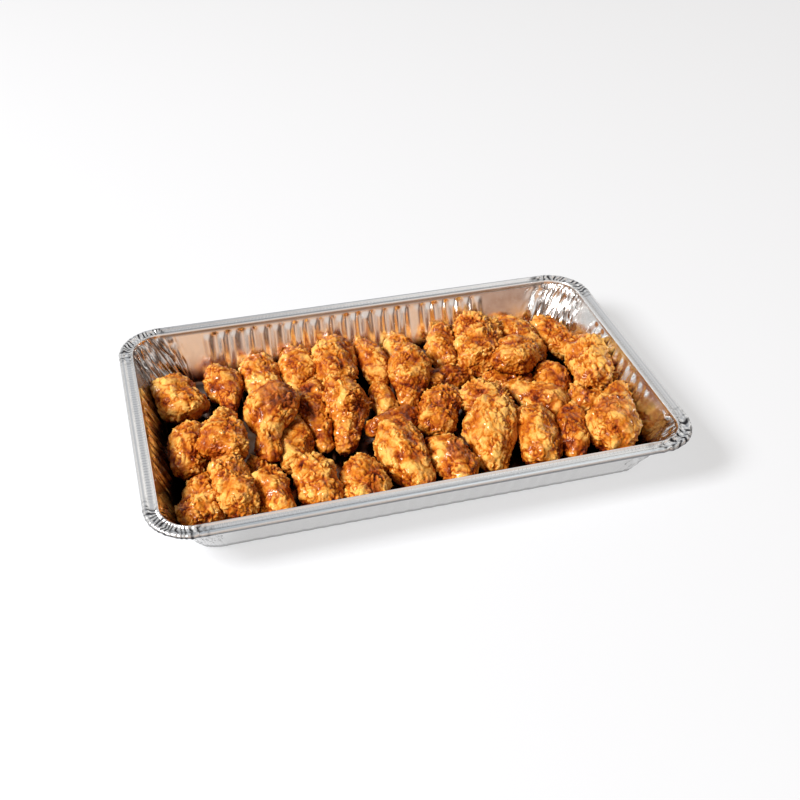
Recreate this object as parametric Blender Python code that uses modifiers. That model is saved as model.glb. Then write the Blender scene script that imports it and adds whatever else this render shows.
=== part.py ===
"""Foil catering pan filled with fried chicken wings.

The pan is a full-size medium-depth aluminium foil pan: fluted walls, crimped corners and a
curled rim. Each wing is a solid of its own. The pan's underside is at z = 0 with the pan's
middle on the z axis, x runs along the pan and y across it.
"""
from collections import namedtuple
from itertools import combinations
from math import atan2, cos, exp, hypot, pi, radians, sin

import bmesh
import bpy
from mathutils import Matrix, Vector, noise
from mathutils.bvhtree import BVHTree

MM = 0.001

# The pan's driving sizes
RIM_LENGTH = 527 * MM
RIM_WIDTH = 325 * MM
PAN_HEIGHT = 55.6 * MM
FLOOR_LENGTH = 457 * MM
FLOOR_WIDTH = 254 * MM
FOIL = 0.7 * MM
RIM_WALK = 15 * MM          # from the opening's edge to the outside of the bead
FLOOR_CORNER = 32 * MM
OPENING_CORNER = 29 * MM
FOOT_RADIUS = 4 * MM        # round where the wall leaves the floor

# The rim's section, from the opening outwards
RIDGE_WALK = 1.2 * MM
GROOVE_WALK = 9.5 * MM
GROOVE_DROP = 1.8 * MM
BEAD_TOP_WALK = 12.2 * MM
CURL_DROP = 3.4 * MM

# Flutes pressed into the walls, and pleats where a corner gathers the foil
FLUTE_PITCH = 14.64 * MM
LONG_FLUTES = 22
LONG_FLUTES_START = -176 * MM
SHORT_FLUTES = 10
FLUTE_DEPTH = 1.8 * MM
FOOT_FLUTE_DEPTH = 0.7 * MM
CORNER_STEPS = 8
PLEAT_DEPTH = 1.1 * MM

# The shape of a wing, in shares of its half length and half width
RINGS = 11
SIDES = 12
BLUNT = {"drumette": 3.0, "flat": 2.7, "chunk": 2.9}
END_POWER = 0.46
BONE_GIRTH = 0.52           # the thin end of a drumette
SHOULDER = (-0.65, 0.3)     # where a drumette thickens
KNUCKLE, KNUCKLE_PLACE, KNUCKLE_REACH = 0.12, -0.78, 0.2
FLAT_TAPER, FLAT_WAIST = 0.07, 0.2
CREASE, CREASE_PLACE, CREASE_REACH = 0.13, -0.05, 0.16
BOW = 0.09                  # sideways bend
BOW_MIDDLE = 0.4
END_LEAN = 0.8              # how far the crust at the ends grows lengthwise

# The broad lumps of the crust
LUMP_SIZE = 13 * MM
LUMP_HEIGHT = 2.8 * MM
SEED_STRIDE = Vector((7.3, 3.1, 5.7))

# How the wings are pressed together
FLOOR_SINK = 1.6 * MM       # crust pressed flat on the floor of the pan
GAP = 1.0 * MM
WALL_GAP = 0.8 * MM
CORE_REACH = 0.54           # the middle line's share of the half length
DEEPEST = 0.5               # the most of the way to the middle line in one step
TRIM_STEPS = 14
TRIM_RATE = 0.6
SAFE_SKIN = 0.2 * MM        # spare thickness when two surfaces are tested for touching
NUDGE = 0.35 * MM
NUDGE_ROUNDS = 30

# Looks
FOIL_COLOUR = (0.80, 0.80, 0.79)
FOIL_ROUGHNESS = 0.28
CRUST_COLOUR = Vector((0.66, 0.27, 0.05))
CRUST_ROUGHNESS = 0.45
TONE = Vector((0.04, 0.024, 0.0))
TONE_STEP = 2.4
SHARP_ANGLE = 40

Wing = namedtuple("Wing", "kind x y rise heading tilt roll length width thick crag")
Shape = namedtuple("Shape", "bm tree frame reach middle")
Station = namedtuple("Station", "side quarter place sway")
Row = namedtuple("Row", "half_x half_y corner height flute pleat")

# Places and sizes in millimetres and degrees. The rise is the height of the underside over the
# pan's floor. The heading is the way the thick end points, the tilt lifts that end, and the roll
# turns the wing about its own length.
WINGS = {
    "wing_01": Wing("chunk", -212, 80, 0, 110, 0, 0, 70, 58, 40, 1.2),
    "wing_02": Wing("drumette", -161, 84, 0, 98, 0, 0, 78, 42, 36, 0.7),
    "wing_03": Wing("flat", -121, 95, 0, 92, 0, 0, 80, 43, 36, 1.0),
    "wing_04": Wing("flat", -80, 98, 0, 90, 0, 0, 80, 44, 36, 1.0),
    "wing_05": Wing("chunk", -41, 95, 0, 78, 0, 0, 82, 52, 44, 1.1),
    "wing_06": Wing("flat", 0, 94, 0, 97, 0, 0, 82, 38, 34, 0.8),
    "wing_07": Wing("flat", 38, 108, 0, 85, 0, 0, 56, 36, 32, 1.0),
    "wing_08": Wing("drumette", 27, 46, 6, 74, 11, 0, 92, 50, 42, 1.0),
    "wing_09": Wing("flat", 84, 96, 0, 80, 4, 0, 80, 36, 36, 1.0),
    "wing_10": Wing("chunk", 119, 91, 0, 70, 6, 0, 90, 58, 45, 1.7),
    "wing_11": Wing("flat", 173, 94, 0, 105, 4, 0, 80, 42, 36, 1.1),
    "wing_12": Wing("chunk", 149, 49, 13, 60, -4, 0, 58, 49, 36, 0.9),
    "wing_13": Wing("chunk", 214, 86, 0, 105, 0, 0, 76, 40, 36, 1.4),
    "wing_14": Wing("chunk", 223, 18, 7, 76, 4, -10, 82, 52, 40, 1.2),
    "wing_15": Wing("chunk", 201, -25, 0, 110, 0, 0, 54, 42, 33, 1.4),
    "wing_16": Wing("drumette", 213, -69, 2, 243, -7, 0, 100, 58, 44, 1.1),
    "wing_17": Wing("flat", 165, -73, 0, 76, 0, 0, 80, 38, 36, 1.0),
    "wing_18": Wing("chunk", 128, -71, 0, 80, 0, 0, 84, 49, 40, 1.2),
    "wing_19": Wing("drumette", 150, -12, 0, -50, 0, 0, 76, 42, 37, 1.0),
    "wing_20": Wing("flat", 184, 12, 0, 92, 0, 0, 66, 38, 34, 1.0),
    "wing_21": Wing("flat", 83, -59, 0, 72, 14, 0, 94, 53, 42, 0.7),
    "wing_22": Wing("chunk", 95, -12, 0, 100, 0, 0, 70, 52, 38, 1.6),
    "wing_23": Wing("chunk", 45, -9, 0, 60, 0, 0, 70, 47, 38, 1.6),
    "wing_24": Wing("flat", 33, -84, 0, 103, 0, 0, 78, 44, 36, 1.2),
    "wing_25": Wing("flat", -9, -67, 0, 97, 8, 0, 92, 51, 42, 0.7),
    "wing_26": Wing("flat", -6, 26, 0, 95, 0, 0, 48, 31, 30, 1.0),
    "wing_27": Wing("flat", -4, -13, 2, 10, 0, 0, 64, 36, 28, 1.0),
    "wing_28": Wing("drumette", -51, 7, 1, 82, 14, 0, 98, 48, 42, 1.0),
    "wing_29": Wing("drumette", -78, 18, 0, 86, 4, 0, 102, 46, 37, 1.0),
    "wing_30": Wing("flat", -149, -48, 0, 90, 0, 0, 40, 28, 26, 1.0),
    "wing_31": Wing("drumette", -128, 0, 13, 74, 11, 0, 98, 57, 44, 1.0),
    "wing_32": Wing("flat", -109, -17, 0, 82, 0, 0, 80, 40, 32, 1.0),
    "wing_33": Wing("chunk", -100, -87, 0, 95, 0, 0, 72, 44, 38, 1.3),
    "wing_34": Wing("chunk", -58, -96, 0, 90, 0, 0, 66, 43, 38, 1.4),
    "wing_35": Wing("flat", -143, -89, 0, 100, 0, 0, 72, 38, 38, 1.0),
    "wing_36": Wing("drumette", -175, -8, 15, 262, 4, 0, 78, 52, 40, 1.1),
    "wing_37": Wing("chunk", -179, -76, 9, 98, 2, 0, 78, 44, 38, 1.4),
    "wing_38": Wing("chunk", -207, -83, 0, 65, 0, 0, 78, 48, 35, 1.5),
    "wing_39": Wing("flat", -210, -6, 0, 75, 0, 0, 72, 46, 38, 1.1),
    "wing_40": Wing("flat", -175, 22, 0, 150, 0, 0, 52, 32, 24, 1.0),
    "wing_41": Wing("flat", 70, 48, 0, 12, 0, 0, 58, 34, 28, 1.0),
    "wing_42": Wing("flat", 136, 34, 0, -15, 0, 0, 52, 32, 24, 1.0),
}


def clear_scene():
    """Start from nothing."""
    for thing in list(bpy.data.objects):
        bpy.data.objects.remove(thing)


def parts_collection():
    """The collection that holds every piece."""
    collection = bpy.data.collections.new("chicken_wings_serving")
    bpy.context.scene.collection.children.link(collection)
    return collection


def principled(name, colour, roughness, metallic):
    """A plain Principled BSDF material."""
    material = bpy.data.materials.new(name)
    material.use_nodes = True
    shader = material.node_tree.nodes["Principled BSDF"]
    shader.inputs["Base Color"].default_value = (*colour, 1.0)
    shader.inputs["Roughness"].default_value = roughness
    shader.inputs["Metallic"].default_value = metallic
    return material


def add_object(name, bm, material, collection):
    """Turn a bmesh into a named object of the collection."""
    mesh = bpy.data.meshes.new(name)
    bm.to_mesh(mesh)
    bm.free()
    mesh.materials.append(material)
    mesh.shade_smooth()
    mesh.set_sharp_from_angle(angle=radians(SHARP_ANGLE))
    thing = bpy.data.objects.new(name, mesh)
    collection.objects.link(thing)
    return thing


def sway(step, last):
    """Out and in by turns along a fluted stretch, and level at its two ends."""
    return 0.0 if step in (0, last) else (-1) ** step / 2


def pan_stations():
    """Stations round the pan, counter-clockwise from above."""
    long_edge = [LONG_FLUTES_START + step * FLUTE_PITCH / 2 for step in range(2 * LONG_FLUTES + 1)]
    short_edge = [(step - SHORT_FLUTES) * FLUTE_PITCH / 2 for step in range(2 * SHORT_FLUTES + 1)]
    sides = (("right", short_edge), ("far", long_edge[::-1]),
             ("left", short_edge[::-1]), ("near", long_edge))
    stations = []
    for quarter, (side, places) in enumerate(sides):
        for step, place in enumerate(places):
            stations.append(Station(side, quarter, place, sway(step, len(places) - 1)))
        for step in range(CORNER_STEPS + 1):
            turn = (quarter + step / CORNER_STEPS) * pi / 2
            stations.append(Station("corner", quarter, turn, sway(step, CORNER_STEPS)))
    return stations


def ring_point(station, row):
    """One point of a ring of the pan's wall or rim."""
    if station.side == "corner":
        middle = (station.quarter + 0.5) * pi / 2
        reach = row.corner + station.sway * row.pleat
        across = (row.half_x - row.corner) * (1 if cos(middle) > 0 else -1)
        along = (row.half_y - row.corner) * (1 if sin(middle) > 0 else -1)
        return Vector((across + reach * cos(station.place), along + reach * sin(station.place),
                       row.height))
    sign = 1 if station.side in ("right", "far") else -1
    push = station.sway * row.flute
    if station.side in ("right", "left"):
        return Vector((sign * (row.half_x + push), station.place, row.height))
    return Vector((station.place, sign * (row.half_y + push), row.height))


def wall_row(share):
    """The inside of the wall at a share of the way from its foot to the opening's edge."""
    foot = FOIL + FOOT_RADIUS
    top = PAN_HEIGHT - CURL_DROP
    open_x, open_y = RIM_LENGTH / 2 - RIM_WALK, RIM_WIDTH / 2 - RIM_WALK
    return Row(FLOOR_LENGTH / 2 + share * (open_x - FLOOR_LENGTH / 2),
               FLOOR_WIDTH / 2 + share * (open_y - FLOOR_WIDTH / 2),
               FLOOR_CORNER + share * (OPENING_CORNER - FLOOR_CORNER),
               foot + share * (top - foot),
               FOOT_FLUTE_DEPTH + share * (FLUTE_DEPTH - FOOT_FLUTE_DEPTH), PLEAT_DEPTH)


def rim_row(walk, drop, pleat):
    """A ring of the rim, by its distance outside the opening and below the top."""
    top = wall_row(1.0)
    return Row(top.half_x + walk, top.half_y + walk, top.corner + walk, PAN_HEIGHT - drop, 0.0, pleat)


def pan_rows():
    """The rings of the pan from the edge of the floor to the curl under the bead."""
    foot = wall_row(0.0)
    floor = Row(foot.half_x - FOOT_RADIUS, foot.half_y - FOOT_RADIUS, foot.corner - FOOT_RADIUS,
                FOIL, 0.0, 0.0)
    return (floor, foot, wall_row(1.0), rim_row(RIDGE_WALK, 0.0, PLEAT_DEPTH),
            rim_row(GROOVE_WALK, GROOVE_DROP, 0.0), rim_row(BEAD_TOP_WALK, 0.0, 0.0),
            rim_row(RIM_WALK, CURL_DROP, 0.0))


def pan_sheet():
    """The inner face of the pan: a floor grown outwards ring by ring."""
    stations = pan_stations()
    rows = pan_rows()
    bm = bmesh.new()
    ring = [bm.verts.new(ring_point(station, rows[0])) for station in stations]
    bm.faces.new(ring)
    place = {vert: index for index, vert in enumerate(ring)}
    for row in rows[1:]:
        rim = [edge for edge in bm.edges if edge.is_boundary]
        grown = bmesh.ops.extrude_edge_only(bm, edges=rim)["geom"]
        fresh = {}
        for vert in (item for item in grown if isinstance(item, bmesh.types.BMVert)):
            old = next(edge.other_vert(vert) for edge in vert.link_edges
                       if edge.other_vert(vert) in place)
            fresh[vert] = place[old]
        for vert, index in fresh.items():
            vert.co = ring_point(stations[index], row)
        place = fresh
    bm.normal_update()
    return bm


def add_foil_pan(sheet, collection):
    """The pan's inner face, given the foil's thickness outwards."""
    material = principled("foil", FOIL_COLOUR, FOIL_ROUGHNESS, 1.0)
    pan = add_object("foil_pan", sheet, material, collection)
    shell = pan.modifiers.new("foil", "SOLIDIFY")
    shell.thickness = FOIL
    shell.offset = -1.0
    shell.use_even_offset = True


def ease(low, high, value):
    """A smooth step from 0 to 1 between two values."""
    share = min(max((value - low) / (high - low), 0.0), 1.0)
    return share * share * (3 - 2 * share)


def swell(along, place, reach):
    """A smooth bump of height 1 at a place along a wing."""
    return exp(-((along - place) / reach) ** 2)


def girth(kind, along):
    """How full a wing is at a place along it, from -1 at the thin end to 1 at the thick one."""
    round_end = max(1.0 - abs(along) ** BLUNT[kind], 0.0) ** END_POWER
    if kind == "drumette":
        knuckle = KNUCKLE * swell(along, KNUCKLE_PLACE, KNUCKLE_REACH)
        return (BONE_GIRTH + (1.0 - BONE_GIRTH) * ease(*SHOULDER, along) + knuckle) * round_end
    if kind == "flat":
        return (1.0 - FLAT_TAPER * (1.0 - cos(pi * (along - FLAT_WAIST)))) * round_end
    return (1.0 - CREASE * swell(along, CREASE_PLACE, CREASE_REACH)) * round_end


def wing_body(wing, seed):
    """A wing as a shaped sphere along x, with the crust's broad lumps."""
    bm = bmesh.new()
    bmesh.ops.create_uvsphere(bm, u_segments=SIDES, v_segments=RINGS, radius=1.0)
    bmesh.ops.rotate(bm, verts=bm.verts, matrix=Matrix.Rotation(pi / 2, 3, "Y"))
    bow = BOW * wing.width * MM * (1 if seed % 2 else -1)
    for vert in bm.verts:
        along = max(min(vert.co.x, 1.0), -1.0)
        turn = atan2(vert.co.z, vert.co.y)
        full = girth(wing.kind, along)
        spot = Vector((along * wing.length * MM / 2,
                       full * cos(turn) * wing.width * MM / 2 + bow * (BOW_MIDDLE - along * along),
                       full * sin(turn) * wing.thick * MM / 2))
        lump = noise.noise(spot / LUMP_SIZE + seed * SEED_STRIDE)
        outwards = Vector((along * END_LEAN, cos(turn) * full, sin(turn) * full)).normalized()
        vert.co = spot + outwards * lump * LUMP_HEIGHT * wing.crag
    return bm


def laid_wing(wing, seed):
    """A wing turned and set down in the pan, before its neighbours press on it."""
    bm = wing_body(wing, seed)
    frame = (Matrix.Translation((wing.x * MM, wing.y * MM, 0.0))
             @ Matrix.Rotation(radians(wing.heading), 4, "Z")
             @ Matrix.Rotation(radians(-wing.tilt), 4, "Y")
             @ Matrix.Rotation(radians(wing.roll), 4, "X"))
    bmesh.ops.transform(bm, matrix=frame, verts=bm.verts)
    underside = FOIL + (wing.rise * MM if wing.rise else -FLOOR_SINK)
    lift = Matrix.Translation((0, 0, underside - min(vert.co.z for vert in bm.verts)))
    bmesh.ops.transform(bm, matrix=lift, verts=bm.verts)
    bm.normal_update()
    frame = lift @ frame
    return Shape(bm, BVHTree.FromBMesh(bm), frame, wing.length * MM / 2, frame.translation)


def outside(tree, spot):
    """Distance from a spot to a closed surface, negative inside it."""
    near, normal, _, distance = tree.find_nearest(spot)
    return distance if (spot - near).dot(normal) > 0 else -distance


def core_point(shape, spot):
    """The nearest point of a wing's middle line."""
    local = shape.frame.inverted() @ spot
    end = shape.reach * CORE_REACH
    return shape.frame @ Vector((max(-end, min(end, local.x)), 0, 0))


def keep_inside(spot):
    """Move a spot clear of the pan's wall and floor."""
    foot, top = wall_row(0.0), wall_row(1.0)
    row = wall_row(max(0.0, min(1.0, (spot.z - foot.height) / (top.height - foot.height))))
    limit = row.corner - WALL_GAP - FLUTE_DEPTH / 2
    sign_x, sign_y = (1 if spot.x > 0 else -1), (1 if spot.y > 0 else -1)
    side_x = abs(spot.x) - (row.half_x - row.corner)
    side_y = abs(spot.y) - (row.half_y - row.corner)
    if side_x > 0 and side_y > 0:
        past = hypot(side_x, side_y) - limit
        if past > 0:
            way = Vector((sign_x * side_x, sign_y * side_y, 0)).normalized()
            spot = spot - way * past
    elif side_x > side_y:
        spot.x -= sign_x * max(side_x - limit, 0.0)
    else:
        spot.y -= sign_y * max(side_y - limit, 0.0)
    spot.z = max(spot.z, FOIL + GAP / 2)
    return spot


def drawn_in(shape, spot, amount):
    """A spot moved towards its wing's middle line."""
    core = core_point(shape, spot)
    return spot + (core - spot).normalized() * min(amount, (core - spot).length * DEEPEST)


def trimmed(shape, spot, others):
    """Draw a spot of one wing back until every neighbour is clear of it by the gap."""
    for _ in range(TRIM_STEPS):
        spot = keep_inside(spot)
        depth = outside(shape.tree, spot)
        short = max((GAP - (outside(other, spot) - depth) for other in others), default=0.0)
        if short <= 0:
            break
        spot = drawn_in(shape, spot, short * TRIM_RATE)
    return keep_inside(spot)


def neighbours(shapes):
    """The pairs of wings near enough to touch."""
    return [(one, two) for one, two in combinations(shapes, 2)
            if (shapes[one].middle - shapes[two].middle).length
            < shapes[one].reach + shapes[two].reach]


def press_together(shapes, pairs):
    """Flatten the wings against each other and the pan where they touch."""
    moved = {}
    for name, shape in shapes.items():
        others = [shapes[two if one == name else one].tree for one, two in pairs if name in (one, two)]
        moved[name] = [trimmed(shape, vert.co.copy(), others) for vert in shape.bm.verts]
    for name, spots in moved.items():
        for vert, spot in zip(shapes[name].bm.verts, spots):
            vert.co = spot


def swollen_tree(bm):
    """A search tree of a shape made thicker by the safe skin."""
    bm.normal_update()
    spots = [vert.co + vert.normal * SAFE_SKIN for vert in bm.verts]
    return BVHTree.FromPolygons(spots, [[vert.index for vert in face.verts] for face in bm.faces])


def draw_in_faces(shape, faces):
    """Move some faces of a wing a little towards its middle line."""
    shape.bm.faces.ensure_lookup_table()
    verts = {vert for index in faces for vert in shape.bm.faces[index].verts}
    for vert in verts:
        vert.co = drawn_in(shape, vert.co.copy(), NUDGE)


def part_touching(shapes, pairs, sheet):
    """Draw back whatever still touches a neighbour or the pan."""
    pan = BVHTree.FromBMesh(sheet)
    for _ in range(NUDGE_ROUNDS):
        trees = {name: swollen_tree(shape.bm) for name, shape in shapes.items()}
        touching = {}
        for one, two in pairs:
            for face_one, face_two in trees[one].overlap(trees[two]):
                touching.setdefault(one, set()).add(face_one)
                touching.setdefault(two, set()).add(face_two)
        for name, tree in trees.items():
            for face, _ in tree.overlap(pan):
                touching.setdefault(name, set()).add(face)
        if not touching:
            break
        for name, faces in touching.items():
            draw_in_faces(shapes[name], faces)


def build():
    """Model the pan and its wings."""
    clear_scene()
    collection = parts_collection()
    sheet = pan_sheet()
    shapes = {name: laid_wing(wing, seed) for seed, (name, wing) in enumerate(WINGS.items(), 1)}
    pairs = neighbours(shapes)
    press_together(shapes, pairs)
    part_touching(shapes, pairs, sheet)
    add_foil_pan(sheet, collection)
    for number, (name, shape) in enumerate(shapes.items()):
        colour = CRUST_COLOUR + TONE * sin(number * TONE_STEP)
        add_object(name, shape.bm, principled(name + "_crust", colour, CRUST_ROUGHNESS, 0.0), collection)


build()
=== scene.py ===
"""Foil catering pan of fried chicken wings, dressed for a studio picture."""
from collections import namedtuple
from math import atan2, cos, exp, hypot, pi, radians, sin

import bmesh
import bpy
import numpy as np
from mathutils import Matrix, Vector, noise


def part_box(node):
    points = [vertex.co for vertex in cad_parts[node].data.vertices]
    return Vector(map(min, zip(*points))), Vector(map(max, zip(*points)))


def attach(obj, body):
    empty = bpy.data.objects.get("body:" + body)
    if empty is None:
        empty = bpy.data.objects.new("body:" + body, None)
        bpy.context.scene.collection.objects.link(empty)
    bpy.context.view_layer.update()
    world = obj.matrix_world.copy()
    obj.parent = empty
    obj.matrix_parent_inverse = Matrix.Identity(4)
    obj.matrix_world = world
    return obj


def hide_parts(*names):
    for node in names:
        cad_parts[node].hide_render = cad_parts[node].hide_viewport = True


MM = 0.001

# The pan's sizes, as in the part
RIM_LENGTH = 527 * MM
RIM_WIDTH = 325 * MM
PAN_HEIGHT = 55.6 * MM
FLOOR_LENGTH = 457 * MM
FLOOR_WIDTH = 254 * MM
FOIL = 0.7 * MM
RIM_WALK = 15 * MM
FLOOR_CORNER = 32 * MM
OPENING_CORNER = 29 * MM
FOOT_RADIUS = 4 * MM
WALL_TOP_DROP = 3.4 * MM
FLUTE_PITCH = 14.64 * MM
LONG_FLUTES = 22
SHORT_FLUTES = 10
LONG_FLUTES_START = -176 * MM

# How finely the foil is drawn
STEPS_A_FLUTE = 8
FLAT_STEPS = 22
CORNER_STEPS = 96
WALL_SHARES = (0.0, 0.05, 0.11, 0.18, 0.26, 0.34, 0.42, 0.50, 0.58, 0.66, 0.73, 0.79,
               0.84, 0.88, 0.91, 0.935, 0.955, 0.972, 0.986, 1.0)
RIM_SECTION = ((0.25, 2.0), (0.6, 1.0), (1.1, 0.4), (1.8, 0.02), (2.5, 0.3), (3.2, 1.2),
               (4.2, 1.75), (5.8, 1.85), (7.4, 1.8), (8.7, 1.5), (9.7, 0.75), (10.7, 0.2),
               (12.0, 0.0), (13.2, 0.25), (14.2, 1.0), (14.8, 2.1), (14.7, 3.2), (13.9, 3.9))

# How deep the foil's flutes, folds and crimps are
FLUTE_DEPTH = 3.2 * MM
FOOT_FLUTE_DEPTH = 0.4 * MM
FLUTE_WANDER = 0.35
FLUTE_UNEVENNESS = 0.9
FLUTE_END = 0.965
FOLD_DEPTH = 3.8 * MM
FOLD_REACH = 24 * MM
CRIMP_DEPTH = 1.5 * MM
CRIMPS = (11, 13, 13, 7)
CRIMP_REACH = 20 * MM
DENT_PLACE = 213 * MM
DENT_DEPTH = 2.4 * MM
RAG_DEPTH = 0.7 * MM

# How each corner is, from far right counter-clockwise: the folds' slant, and how much oil and
# painted shade darken its wall
CORNER_SLANTS = (0.5, -0.6, 0.7, -0.4)
CORNER_OIL_AND_SHADE = (0.3, 0.35, 0.85, 0.3)
# How much oil runs and painted shade darken the left wall, and the near end of the right wall
LEFT_OIL_AND_SHADE = 0.85
RIGHT_OIL_AND_SHADE = 0.3

# How dark the painted shade and painted dark reflection lines along the rim, under the lip and at
# the wall's foot are
FAR_LIP_DARK = 0.5
LIP_DARK = 0.12
RIM_DARKS = {"far": 1.0, "right": 0.6}
MIDDLE_DARK = 0.5
BEAD_DARK = 0.6
FOOT_DARK = 0.42

# The foil's colours, with a painted cool reflection, the brown of oil and painted shade, and the
# black of painted shade
FOIL_GREY = (0.80, 0.805, 0.81, 1)
FOIL_WHITE = (0.87, 0.87, 0.865, 1)
FOIL_DULL = (0.52, 0.515, 0.51, 1)
FOIL_COOL_REFLECTION = (0.80, 0.85, 0.885, 1)
OIL_AND_SHADE_BROWN = (0.10, 0.045, 0.02, 1)
PAINTED_SHADE_BLACK = (0.035, 0.035, 0.04, 1)
DASH_PITCH = 3.8 * MM
OUTER_SHINE = 0.7

# The crust's form
VOXEL = 0.95 * MM
WALL_CLEAR = 0.5 * MM
BONE_SLICES = 20
SWAY_SHIFTS = (Vector((9.32, -1.53, -7.95)), Vector((0.0, 0.0, 0.0)),
               Vector((-6.27, 11.84, 3.41)))

# The spans of the crust's noises and how high they stand, in millimetres
LOBE_SPAN, LOBE_HEIGHT = 16.0, 3.8
FOLD_SPAN, FOLD_HEIGHT = 11.0, 2.2
KNOB_SPAN, KNOB_HEIGHT = 0.76, 2.9
CRUMB_SPAN, CRUMB_HEIGHT = 2.7, 2.0
CRAG_SPAN = 13.0
WIDE_SWAY, FINE_SWAY = 10.0, 4.0
WIDE_REACH, FINE_REACH = 3.5, 1.1
RIDGE_MEAN = 0.17
CRUST_SINK = 0.6
CURL_SPAN, CURL_SHARE = 4.0, 0.5
PATCH_SPAN = 11.0
STAIN_SPAN = 9.0

# The crust's colours, from the crevices to the crags; the dark end also carries painted shade in
# crevices and underneath
GOLDEN = ((0.04, (0.05, 0.003, 0.0003)), (0.24, (0.18, 0.018, 0.001)),
          (0.42, (0.37, 0.072, 0.004)), (0.62, (0.59, 0.185, 0.014)),
          (0.88, (0.86, 0.47, 0.115)))
REDDISH = ((0.1, (0.06, 0.006, 0.001)), (0.5, (0.30, 0.060, 0.008)),
           (0.9, (0.62, 0.21, 0.04)))

# The table top
FLOOR_GREY = (0.30, 0.31, 0.33, 1.0)
FLOOR_GLOW = 0.62

# The camera, fitted to the rim in the picture
CAMERA_YAW = 0.297437
CAMERA_PITCH = 0.658875
CAMERA_ROLL = 0.02525
CAMERA_SPOT = (-0.25531, -0.84868, 0.72238)
FOCUS_PIXELS = 1102.90
PICTURE_PIXELS = 800
SENSOR_WIDTH = 36.0

# The key light
KEY_SPOT = (-3.0, -0.5, 2.7)
KEY_TARGET = (0.0, 0.0, 0.03)
KEY_SIZE = (1.3, 1.3)
KEY_POWER = 262.0
KEY_COLOUR = (1.0, 0.985, 0.96)

# The room that the foil mirrors: grey by height, and the warm low front from west to east
ROOM_BY_HEIGHT = ((0.0, (0.15, 0.15, 0.16)), (0.2, (0.27, 0.28, 0.30)),
                  (0.45, (0.47, 0.49, 0.52)), (0.60, (0.64, 0.65, 0.67)),
                  (0.72, (0.60, 0.60, 0.61)))
WARM_BY_EAST = ((0.0, (1.0, 0.80, 0.67)), (0.22, (1.0, 0.74, 0.56)), (0.35, (0.62, 0.27, 0.11)),
                (0.46, (0.92, 0.50, 0.25)), (0.56, (1.0, 0.62, 0.39)),
                (0.67, (0.34, 0.14, 0.065)), (0.79, (0.09, 0.045, 0.03)),
                (0.95, (0.62, 0.45, 0.35)))
ABOVE_WEST = (0.50, 0.50, 0.51, 1)
ABOVE_EAST = (0.95, 0.94, 0.93, 1)
ROOM_FRONT = (0.84, 0.72, 0.65, 1)
ROOM_WEST = (0.90, 0.88, 0.86, 1)
ROOM_EAST = (0.30, 0.26, 0.235, 1)
ROOM_BEHIND = (0.98, 0.95, 0.92, 1)
DARK_CARDS = (0.05, 0.05, 0.055, 1)
LIGHT_CARDS = (1.1, 1.1, 1.08, 1)
WARM_STREAKS = (0.42, 0.31, 0.25, 1)
SOFT_LIGHT = (0.21, 0.17, 0.145, 1)
BACKDROP = (0.97, 0.97, 0.97, 1)

Station = namedtuple("Station", "side quarter place run")
Row = namedtuple("Row", "half_x half_y corner height share walk")
Crust = namedtuple("Crust", "cobble pebbles swirls stretch toast blush")

# Kinds of crust: the size and height of its knobs, the height of its folds, how far they are
# drawn out along the wing, how toasted it is and how much it blushes
CRAGGY = Crust(6.5, 1.2, 1.0, 1.2, 0.05, 0.0)
PEBBLED = Crust(5.4, 1.1, 0.8, 1.1, 0.1, 0.0)
RIDGED = Crust(6.2, 0.85, 1.2, 2.6, -0.25, 0.0)
PLAIN = Crust(6.2, 0.9, 0.8, 1.3, 0.0, 0.0)

# How much thinner the neck and thicker the knob of a drumstick's bone end are
BONE_ENDS = {"wing_28": (0.86, 1.08), "wing_31": (0.66, 1.06)}

# Reddish patches: how far along and across a wing each one lies, and its reach, in millimetres
PATCHES = {"wing_16": (4.0, 0.0, 24.0), "wing_24": (6.0, 4.0, 20.0),
           "wing_31": (15.0, -4.0, 24.0)}

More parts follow.
